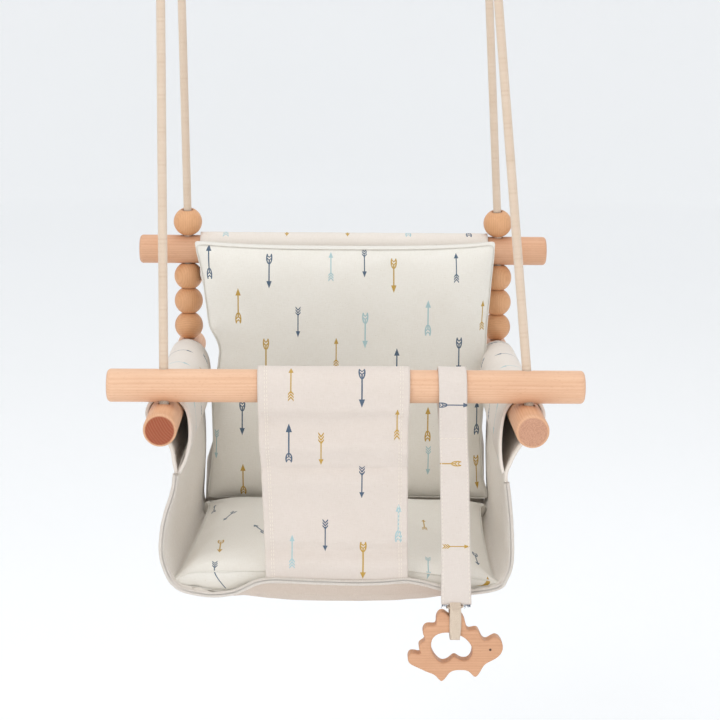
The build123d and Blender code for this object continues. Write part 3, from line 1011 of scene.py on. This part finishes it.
path = [
    at(x, PIPING_Y + CLEAR_OF_TOY * ease((x - 60) / 15) + 0.5 * wander(x, z, 4.4, 12), z)
    for x, z in evenly(rim_line(), 460)[0]
]
piping = tube("rim_piping_tape", path, PIPING_R * MM, 14, profile=piping_shape)
paint(piping, plain_cloth("piping_tape", "f7efe7", 0.45, twill=True))
dress(piping, "seat", "piping_tape", "rim_piping")

# ---------------------------------------------------------------- back panel

BACK_PROFILE = [
    (SEAT_END, -156), (SEAT_END + 3, -120), (286.5, -60), (287, 0), (288, 40), (290, 66), (290.6, 86),
    (291, 104), (296, 115.6), (307, 119.4), (318, 115.6), (323.2, 104), (319, 88), (304, 74), (293.6, 64),
]
# The panel is drawn in at its waist, where daylight shows past it
BACK_PANEL_LEFT = [(-158, -137), (-105, -135), (-80, -127), (-40, -122), (12, -119), (45, -131), (80, -141)]
BACK_PANEL_RIGHT = [(-158, 143), (-90, 142), (-55, 137), (12, 137), (45, 140), (80, 142.5)]


def back_panel_edges(z):
    return read_off(z, BACK_PANEL_LEFT), read_off(z, BACK_PANEL_RIGHT)


def back_ripple(x, v):
    return 1.2 * wander(x, v * 0.6, 6.1, 46) * bell(v, 110, 90) + 0.3 * wander(x, v, 8.8, 12)


grid, flat, _ = strip(BACK_PROFILE, 90, 84, back_panel_edges, back_ripple)
prints = [canvas("canvas_back", SHELL, lattice=(11, 9)), canvas("canvas_back_rear", SHELL, lattice=(4, 15))]
back = paint(sheet_mesh("back_canvas", grid, flat, CANVAS_MM), *prints)
dress(back, "seat", "printed_canvas", "back_panel")
cut_length(flat)
seat_trim += [seam_down(grid, j, face) for j in (2, 81) for face in (1, -1)]
seat_trim += [seam_across(grid, i) for i in (87, 84)]
dress(stitching("seat_stitches", seat_trim), "seat", "binding_thread")

# ---------------------------------------------------------------- crotch panel

CROTCH_PROFILE = [
    (15.2, -149.5), (12.8, -132), (9.6, -105), (6.6, -75), (4.2, -54), (3.0, -45), (-0.6, -32), (-6, -16),
    (-11.6, 0), (-15.2, 14), (-16.1, 28.3), (-11.4, 39.7), (0, 44.5), (11.4, 39.7), (16.1, 28.3),
    (15, 12), (12, -6), (9.6, -24), (8.6, -42), (8.6, -56),
]
CROTCH_EDGES = edges_from([(-150, -68.1, 54.9), (-44, -71.9, 53.1), (-18, -73.6, 52.7), (44, -74.7, 53.3)])
SNAPS = ((-62.5, -49.0), (44.0, -49.0))
# The crease over the snaps, as a distance along the cloth
CREASE = 107.0


def crotch_ripple(x, v):
    """Folds where the cloth hangs from the bar, at the crease over the snaps, and low down."""
    sway = 5 * wander(x, 0, 7.7, 60)
    upper, lower = v + sway, v - 0.6 * sway
    fold = -3.4 * bell(upper, 150, 12) + 1.6 * bell(upper, 127, 10)
    fold -= 1.6 * bell(v, CREASE, 2.8) * (0.6 + 0.4 * bell(abs(x + 11), 55, 28))
    fold += 1.3 * bell(v, CREASE - 12, 8) - 1.4 * bell(v + 0.04 * x, 66, 15)
    fold += 1.7 * bell(lower, 19, 8) - 2.0 * bell(lower, 31, 6)
    rumple = wander(x * 0.5, v, 5.1, 17) * (bell(v, 140, 20) + bell(v, 28, 16))
    soft = 1.4 * wander(x, v, 2.9, 55)
    edge = min(x + 74, 54 - x)
    hem = 0.5 * (1 - ease((edge - 7.5) / 1.2)) + 0.5 * wander(v, edge, 3.3, 11) * bell(edge, 0, 12)
    hanging = ease(v / 14) * ease((168 - v) / 12)
    over_stud = sum(bell(math.hypot(x - stud_x, v - CREASE + 5), 0, 10) for stud_x, _ in SNAPS)
    lift = 1.6 * (rumple + fold + soft) * hanging + hem * (0.3 + 0.7 * hanging)
    return lift * max(1 - 1.15 * over_stud, 0)


def placed(arrows, up_cloth):
    """Arrows given by their height on the hanging cloth, moved to their place on the cut."""
    return [(x, up_cloth(z), heading, ink, style) for x, z, heading, ink, style in arrows]


grid, flat, up_cloth = strip(CROTCH_PROFILE, 190, 66, CROTCH_EDGES, crotch_ripple)
crotch_arrows = [
    (-48.2, -21, 0, "navy", 0), (-21, -26, 180, "gold", 1), (13, 31, 180, "navy", 0),
    (43, -2, 0, "gold", 1), (14, -56, 180, "navy", 1), (-45.6, -119, 0, "sky", 1),
    (-17, -106, 180, "navy", 1), (46, -94, 0, "sky", 0), (15.7, -127, 180, "gold", 0),
    (-46.4, 34, 0, "gold", 1),
]
# The crotch canvas is a darker cream than the other printed panels: painted shade that tones down its
# brightly lit front
printed = canvas("canvas_crotch_shaded", "e6dbd3", arrows=placed(crotch_arrows, up_cloth))
crotch = paint(sheet_mesh("crotch_canvas", grid, flat, CANVAS_MM), printed, inner_canvas)
seams = [seam_down(grid, j) for j in (3, 4, 61, 62)] + [seam_across(grid, 187)]
crotch_stitches = stitching("crotch_stitches", seams)

# A press fastener's outline, radius and y: two rounded discs, one pressed in the other
STUD_OUTLINE = [
    (0, 4.2), (3.2, 4.2), (5.0, 4.6), (5.5, 5.3), (5.0, 5.8), (4.0, 5.9), (4.0, 6.1), (5.2, 6.3), (5.3, 7.0),
    (4.6, 7.5), (2.4, 7.6), (0, 7.6),
]


def press_stud(x, z, around=28):
    """A press fastener between the panel's two layers."""
    angles = [2 * math.pi * j / around for j in range(around)]
    points = [at(x + r * math.cos(a), y, z + r * math.sin(a)) for r, y in STUD_OUTLINE for a in angles]
    return mesh_object("stud", points, grid_faces(len(STUD_OUTLINE), around, wrap=True))


studs = paint(join("crotch_studs", [press_stud(x, z) for x, z in SNAPS]), metal("snap_steel", "b9bcbd", 0.32))
for piece, slot, nodes in (
    (crotch, "printed_canvas", ["crotch_panel"]),
    (crotch_stitches, "binding_thread", []),
    (studs, "snap_metal", ["crotch_snaps"]),
):
    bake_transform(piece)
    if nodes:
        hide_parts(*nodes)
size = (0.128, cut_length(flat))

# ---------------------------------------------------------------- toy strap

STRAP_PROFILE = [
    (-1.1, -163), (-1.2, -120), (-1.3, -80), (-1.4, -40), (-2.0, -16), (-8.5, 0), (-14.4, 14), (-16.2, 28.3),
    (-11.5, 39.8), (0, 44.6), (11.5, 39.8), (16.2, 28.3), (13.6, 12), (7.5, -2), (1.5, -16), (1.3, -40),
    (1.3, -80), (1.2, -120), (1.1, -162),
]
STRAP_EDGES = edges_from([
    (-165, 83.3, 109.4), (-106, 82.2, 107.1), (-44, 80.3, 105), (15, 77.7, 101.3), (44, 77.0, 100.6),
])
UNDER_BAR_SEAM = -15.8


def strap_ripple(x, v):
    over_bar = ease((v - 135) / 14) * ease((270 - v) / 14)
    return 0.35 * wander(0, v, 4.9, 40) * (1 - over_bar) + 0.15 * wander(x, v, 6.6, 9)


grid, flat, up_cloth = strip(STRAP_PROFILE, 200, 18, STRAP_EDGES, strap_ripple)
strap_arrows = [(89.6, 16, -90, "navy", 0), (84.5, -38, 90, "gold", 0), (95.3, -111, -90, "gold", 1)]
printed = canvas("canvas_strap", "e6dcd5", arrows=placed(strap_arrows, up_cloth), arrow_size=0.8)
strap = paint(sheet_mesh("toy_strap_canvas", grid, flat, CANVAS_MM), printed, inner_canvas)
under_bar = int(np.argmin(abs(grid[:90, 0, 2] - UNDER_BAR_SEAM)))
seams = [seam_down(grid[:78], 1), seam_down(grid[:78], 16), seam_across(grid, under_bar)]
strap_stitches = stitching("toy_strap_stitches", seams)


def loose_threads(name, ends, material):
    """Short loose threads, each from a point, with its own lean and length."""
    rng = random.Random(name)
    threads = []
    for x, y, z in ends:
        drop = rng.uniform(1.2, 4.2)
        lean = rng.uniform(-1.6, 1.6)
        out = rng.uniform(-0.5, 0.5)
        half_way = at(x + 0.3 * lean, y + 0.4 * out, z - 0.45 * drop)
        path = [at(x, y, z + 0.6), half_way, at(x + lean, y + out, z - drop)]
        threads.append(tube("thread", path, rng.uniform(0.16, 0.28) * MM, 5))
    return paint(join(name, threads), material)


RIBBON_X = centre_of("toy_ribbon").x / MM
CLEAR_OF_RIBBON = 7.5
cut_end = [(x, y, -162.6) for x in np.arange(84, 109, 0.55) for y in (-1.1, 0.9)]
cut_end = [place for place in cut_end if abs(place[0] - RIBBON_X) > CLEAR_OF_RIBBON]
fringe = loose_threads("toy_strap_fringe", cut_end, cotton("navy_thread", "44536b", "2c3850"))
dress(strap, "toy_strap", "printed_canvas", "toy_strap")
dress(strap_stitches, "toy_strap", "binding_thread")
dress(fringe, "toy_strap", "printed_canvas")
size = (0.0245, cut_length(flat))

# ---------------------------------------------------------------- ribbon and teether

RIBBON_HALF = [
    (-0.9, -161), (-4.6, -163), (-7.1, -166.4), (-7.4, -180), (-7.4, -188), (-7.2, -191.4), (-5.4, -193.3),
]
RIBBON_PROFILE = RIBBON_HALF + [(0, -193.8)] + [(-y, z) for y, z in reversed(RIBBON_HALF)]
RIBBON_MM = 0.9


def ribbon_edges(z):
    half = 5.05 - 0.4 * bell(z, -165, 3) - 0.9 * bell(z, -192.7, 6)
    return RIBBON_X - half, RIBBON_X + half


def wrap_place(turn):
    """The thread wrapped round the ribbon's top: a flattened loop, a little tilted."""
    across = 6.2 * math.cos(turn) * (1 - 0.2 * math.sin(turn) ** 2)
    return at(RIBBON_X + across, 7.2 * math.sin(turn), -165.2 + 0.5 * math.cos(turn))


grid, flat, _ = strip(RIBBON_PROFILE, 90, 12, ribbon_edges, lambda x, v: 0.12 * wander(x, v, 1.3, 7))
twill = plain_cloth("twill_ribbon", "f3e0cc", 0.4, twill=True)
ribbon = paint(sheet_mesh("toy_ribbon_twill", grid, flat, RIBBON_MM), twill)
wrap_line = [wrap_place(2 * math.pi * k / 48) for k in range(48)]
ribbon_wrap = paint(tube("toy_ribbon_wrap", wrap_line, 0.0014, 10, 0.6, closed=True), twill)
dress(ribbon_wrap, "toy_ribbon", "twill_ribbon")
dress(ribbon, "toy_ribbon", "twill_ribbon", "toy_ribbon")
size = (0.0102, cut_length(flat))


def rounded_wood(name, node, voxel, rounds):
    """A copy of a CAD piece with its edges sanded round."""
    obj = new_object(name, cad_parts[node].data.copy())
    obj.matrix_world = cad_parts[node].matrix_world
    remesh = obj.modifiers.new("remesh", "REMESH")
    remesh.mode = "VOXEL"
    remesh.voxel_size = voxel
    smooth = obj.modifiers.new("sand", "SMOOTH")
    smooth.factor = 0.5
    smooth.iterations = rounds
    return apply_modifiers(obj)


def paint_eye_hole_shade(material, place):
    """A dark dot of painted shade where the small drilled eye hole is, on both faces of the teether."""
    n = Nodes(material.node_tree)
    colour = material.node_tree.nodes["Principled BSDF"].inputs["Base Color"]
    mask = n.remap(n.distance(n.place(), place, (1, 0, 1)), 0.0009, 0.0013, 1.0, 0.0)
    n.feed(n.blend(mask, colour.links[0].from_socket, srgb("4a2a1a")), colour)


eye = Vector((RIBBON_X * MM + 0.0307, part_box("teether")[0].y, SIDE_Z - 0.2023))
heart = tuple(eye + Vector((0, 0.02, 0.03)))
teether_look = beech("beech_teether", 0, heart, "dba985", "bd8763", "c08662")
paint_eye_hole_shade(teether_look, eye)
dress(paint(rounded_wood("teether_wood", "teether", 0.0008, 9), teether_look), "teether", "beech", "teether")

# ---------------------------------------------------------------- cushions

# How far apart the front and back of a cushion lie on the flat cut
CUT_APART = 400
BAND_BULGE = 1.6


def cushion(name, plan, front, back, cols, rows, band=6):
    """A closed cushion: a front face, a back face, and a boxing band between their edges.

    plan(u, v) gives a flat place; front and back turn that place into points in seat
    coordinates. The band bulges out a little. The flat cut of the band carries on from
    the front face, so that the print crosses the edge.
    """
    places = [plan(j / (cols - 1), i / (rows - 1)) for i in range(rows) for j in range(cols)]
    points = [front(*p) for p in places]
    uvs = list(places)
    middle = np.mean(places, axis=0)
    loop = grid_edge(rows, cols)
    rings = [loop]
    for share in np.arange(1, band) / band:
        rings.append(list(range(len(points), len(points) + len(loop))))
        for k in loop:
            place = np.array(places[k])
            out = unit(place - middle)
            start, end = np.array(front(*place)), np.array(back(*place))
            moved = np.array(front(*(place + out))) - start
            bulge = BAND_BULGE * math.sin(math.pi * share) / max(np.linalg.norm(moved), 1e-6)
            points.append(tuple(mix(start, end, share) + bulge * moved))
            uvs.append(tuple(place + out * share * np.linalg.norm(end - start)))
    behind = len(points)
    points += [back(*p) for p in places]
    uvs += [(u + CUT_APART, v) for u, v in places]
    rings.append([behind + k for k in loop])
    faces = grid_faces(rows, cols)
    faces += [tuple(behind + k for k in face[::-1]) for face in faces]
    for ring, following in zip(rings, rings[1:]):
        ahead, beyond = ring[1:] + ring[:1], following[1:] + following[:1]
        faces += zip(ahead, ring, following, beyond)
    obj = mesh_object(name, [at(*p) for p in points], faces, [(u * MM, v * MM) for u, v in uvs])
    return obj, (rings[0], rings[-1])


SWELL_FRAMES = 20
SWELL_PRESSURE = 3.0
SWELL_CAP_MM = 3.0
CLOTH = {
    "quality": 6,
    "mass": 0.25,
    "tension_stiffness": 25,
    "compression_stiffness": 12,
    "shear_stiffness": 6,
    "bending_stiffness": 0.4,
    "use_pressure": True,
    "uniform_pressure_force": SWELL_PRESSURE,
}


def swell(obj):
    """Blow the cushion up with cloth pressure, moving no point further than the cap."""
    before = np.array([v.co for v in obj.data.vertices])
    sim = obj.modifiers.new("swell", "CLOTH")
    for key, value in CLOTH.items():
        setattr(sim.settings, key, value)
    sim.settings.effector_weights.gravity = 0
    sim.point_cache.frame_start = 1
    sim.point_cache.frame_end = SWELL_FRAMES
    for number in range(1, SWELL_FRAMES + 1):
        bpy.context.scene.frame_set(number)
    apply_modifiers(obj)
    move = np.array([v.co for v in obj.data.vertices]) - before
    far = np.linalg.norm(move, axis=1, keepdims=True)
    limit = SWELL_CAP_MM * MM
    move *= np.where(far > 1e-9, limit * np.tanh(far / limit) / np.maximum(far, 1e-9), 0)
    obj.data.vertices.foreach_set("co", (before + move).ravel())
    bpy.context.scene.frame_set(1)


SEAM_R = 0.65
SEAM_OUT = 0.1


def seam_ridge(obj, ring):
    """The seam ridge along an edge of a cushion, following the edge as it now lies."""
    line = np.array([obj.data.vertices[k].co for k in ring])
    line = np.concatenate([line[-2:], line, line[:3]])
    for _ in range(3):
        line[1:-1] = 0.25 * line[:-2] + 0.5 * line[1:-1] + 0.25 * line[2:]
    line = line[2:-3]
    outwards = line - line.mean(axis=0)
    outwards /= np.linalg.norm(outwards, axis=1, keepdims=True)
    return tube("ridge", line + outwards * SEAM_OUT * MM, SEAM_R * MM, 8, closed=True)


def finish_cushion(obj, rings, node, material):
    paint(obj, material)
    swell(obj)
    ridges = paint(join(f"{obj.name}_seams", [seam_ridge(obj, ring) for ring in rings]), seam_cloth)
    smooth = obj.modifiers.new("finer", "SUBSURF")
    smooth.levels = smooth.render_levels = 1
    apply_modifiers(obj)
    dress(obj, "seat", "printed_canvas", node)
    dress(ridges, "seat", "printed_canvas")


def edge_pucker(x, y, gap, seed, reach=9.0):
    """Small gathers where a seam pulls the cloth in, gap mm away from it."""
    return bell(gap, reach * 0.35, reach) * (0.7 * wander(x, y, seed, 8) + 0.5 * wander(x, y, seed + 3, 17))


SEAT_FRONT, SEAT_REAR = 22.5, 247.0
SEAT_LEFT = (-149.5, -132)
SEAT_RIGHT = (134, 138.5)
SEAT_FRONT_TOP = [(-152, -147), (-134.6, -141), (-99.8, -140.5), (55, -139.5), (80.7, -143.7), (109.6, -146),
                  (134, -149)]
CORNER_ROUND = 0.045


def seat_plan(u, v):
    """The seat cushion's outline: four corners, sides drawn in between them, corners rounded."""
    pull_x = 3.2 * math.sin(math.pi * v) - 3.4 * bell(v, 0, CORNER_ROUND) - 4.5 * bell(v, 1, CORNER_ROUND)
    pull_y = 1.6 * math.sin(math.pi * u) - 2.6 * bell(u, 0, CORNER_ROUND) - 2.6 * bell(u, 1, CORNER_ROUND)
    x = mix(mix(*SEAT_LEFT, v), mix(*SEAT_RIGHT, v), u) + (0.5 - u) * 2 * pull_x
    return x, mix(SEAT_FRONT, SEAT_REAR, v) + (0.5 - v) * 1.6 * pull_y


def seat_gap(x, y):
    """Distance in from the edge; the rear edge counts from 4.5 mm outside."""
    back = (y - SEAT_FRONT) / (SEAT_REAR - SEAT_FRONT)
    from_sides = min(x - mix(*SEAT_LEFT, back), mix(*SEAT_RIGHT, back) - x)
    return max(min(from_sides, y - SEAT_FRONT, 9 + 2 * (SEAT_REAR - y)), 0.0)


def seat_top(x, y):
    gap = seat_gap(x, y)
    rise = 7.5 * (1 - math.exp(-gap / 22)) - 1.0
    dents = 2.4 * wander(x, y, 5.2, 62) * ease(gap / 30) + edge_pucker(x, y, gap, 2.4)
    return x, y, mix(read_off(x, SEAT_FRONT_TOP), -138.5, ease((y - 22) / 200)) + rise + dents


def seat_under(x, y):
    return x, y, min(base_height(x, y) + 2.2, -151.5)


BACK_LOW, BACK_TOP = -139, 114
BACK_LEFT = [(-134, -133.5), (-83, -129.5), (-43, -130.5), (-6.8, -124.5), (11, -122.5), (23.8, -127),
             (31.6, -133), (82.5, -138.6), (116, -144.5)]
BACK_RIGHT = [(-137.5, 146), (-117, 141.7), (-76.7, 138.8), (-36.5, 141), (33, 142.4), (99.7, 147),
              (116, 148)]


def back_plan(u, v):
    """The back cushion's outline. Its upper corners stand up, its lower ones hardly reach down."""
    z = mix(BACK_LOW, BACK_TOP, v)
    x = mix(read_off(z, BACK_LEFT), read_off(z, BACK_RIGHT), u)
    return x, z + (v - 0.5) * 2 * (4.6 * abs(2 * u - 1) ** 3 - 1.0) * (1 if v > 0.5 else 0.3)


def back_gap(x, z):
    """Distance in from the edge."""
    from_sides = min(x - read_off(z, BACK_LEFT), read_off(z, BACK_RIGHT) - x)
    return max(min(from_sides, z - BACK_LOW, BACK_TOP + 1 - z), 0.0)


def back_front(x, z):
    gap = back_gap(x, z)
    crown = 9.0 * (1 - math.exp(-gap / 26))
    soft = 3.4 * wander(x, z, 8.4, 75) * ease(gap / 30) + edge_pucker(x, z, gap, 6.4)
    return x, 256.5 + 2.5 * bell(z, 114, 40) - crown - soft, z


def back_rear(x, z):
    return x, 278.5 + 2.8 * (1 - math.exp(-back_gap(x, z) / 20)) + 1.5 * ease((z + 60) / 60), z


seam_cloth = plain_cloth("seam_cloth", CREAM, 0.5)
seat_arrows = [
    (-126, 207, 0, "navy", 1), (-108, 168, 160, "navy", 1), (-77, 121, 20, "navy", 0),
    (-111, 69, 180, "gold", 0), (74, 34, 180, "sky", 1), (75, 139.5, 0, "gold", 1), (127, 8, 0, "gold", 0),
    (-40, 62, 0, "navy", 1), (-115, 20, 180, "navy", 1), (119, 60, 180, "navy", 0),
    (-5, 110, 180, "sky", 0), (30, 190, 0, "gold", 1), (110, 190, 180, "navy", 0), (-30, 200, 0, "navy", 0),
    (-60, 20, 0, "gold", 1), (30, 30, 0, "navy", 0),
]
pad, rings = cushion("seat_cushion_pad", seat_plan, seat_top, seat_under, 66, 54)
finish_cushion(pad, rings, "seat_cushion", canvas("canvas_seat_cushion", CREAM, arrows=seat_arrows))

back_arrows = [
    (-130.6, 100, 0, "navy", 0), (-102, 56, 0, "gold", 0), (-72, 91, 180, "navy", 0),
    (-44, 40.5, 180, "navy", 1), (-12.4, 96, 0, "sky", 1), (-7, 11, 0, "gold", 1),
    (48.4, 87, 180, "gold", 0), (21, 33, 180, "sky", 0), (81.8, 45, 0, "sky", 0), (109, 95, 0, "navy", 1),
    (137, 48, 0, "gold", 1), (112.5, 9, 180, "navy", 0), (-75, 7, 180, "gold", 0), (52, -2.4, 0, "navy", 0),
    (-98.4, -55, 180, "navy", 0), (-126, -84, 180, "sky", 1), (-97.7, -119, 0, "gold", 0),
    (83, -60, 0, "gold", 0), (84, -97, 180, "sky", 1), (134, -110, 180, "gold", 0),
    (112, -36, 180, "sky", 0), (20, 99, 180, "navy", 1), (-40, -60, 0, "navy", 0),
    (20, -70, 180, "gold", 1), (134, -55, 0, "navy", 0), (-10, -115, 180, "sky", 0),
    (50, -110, 0, "navy", 1),
]
pad, rings = cushion("back_cushion_pad", back_plan, back_front, back_rear, 70, 62)
finish_cushion(pad, rings, "back_cushion", canvas("canvas_back_cushion", CREAM, arrows=back_arrows))
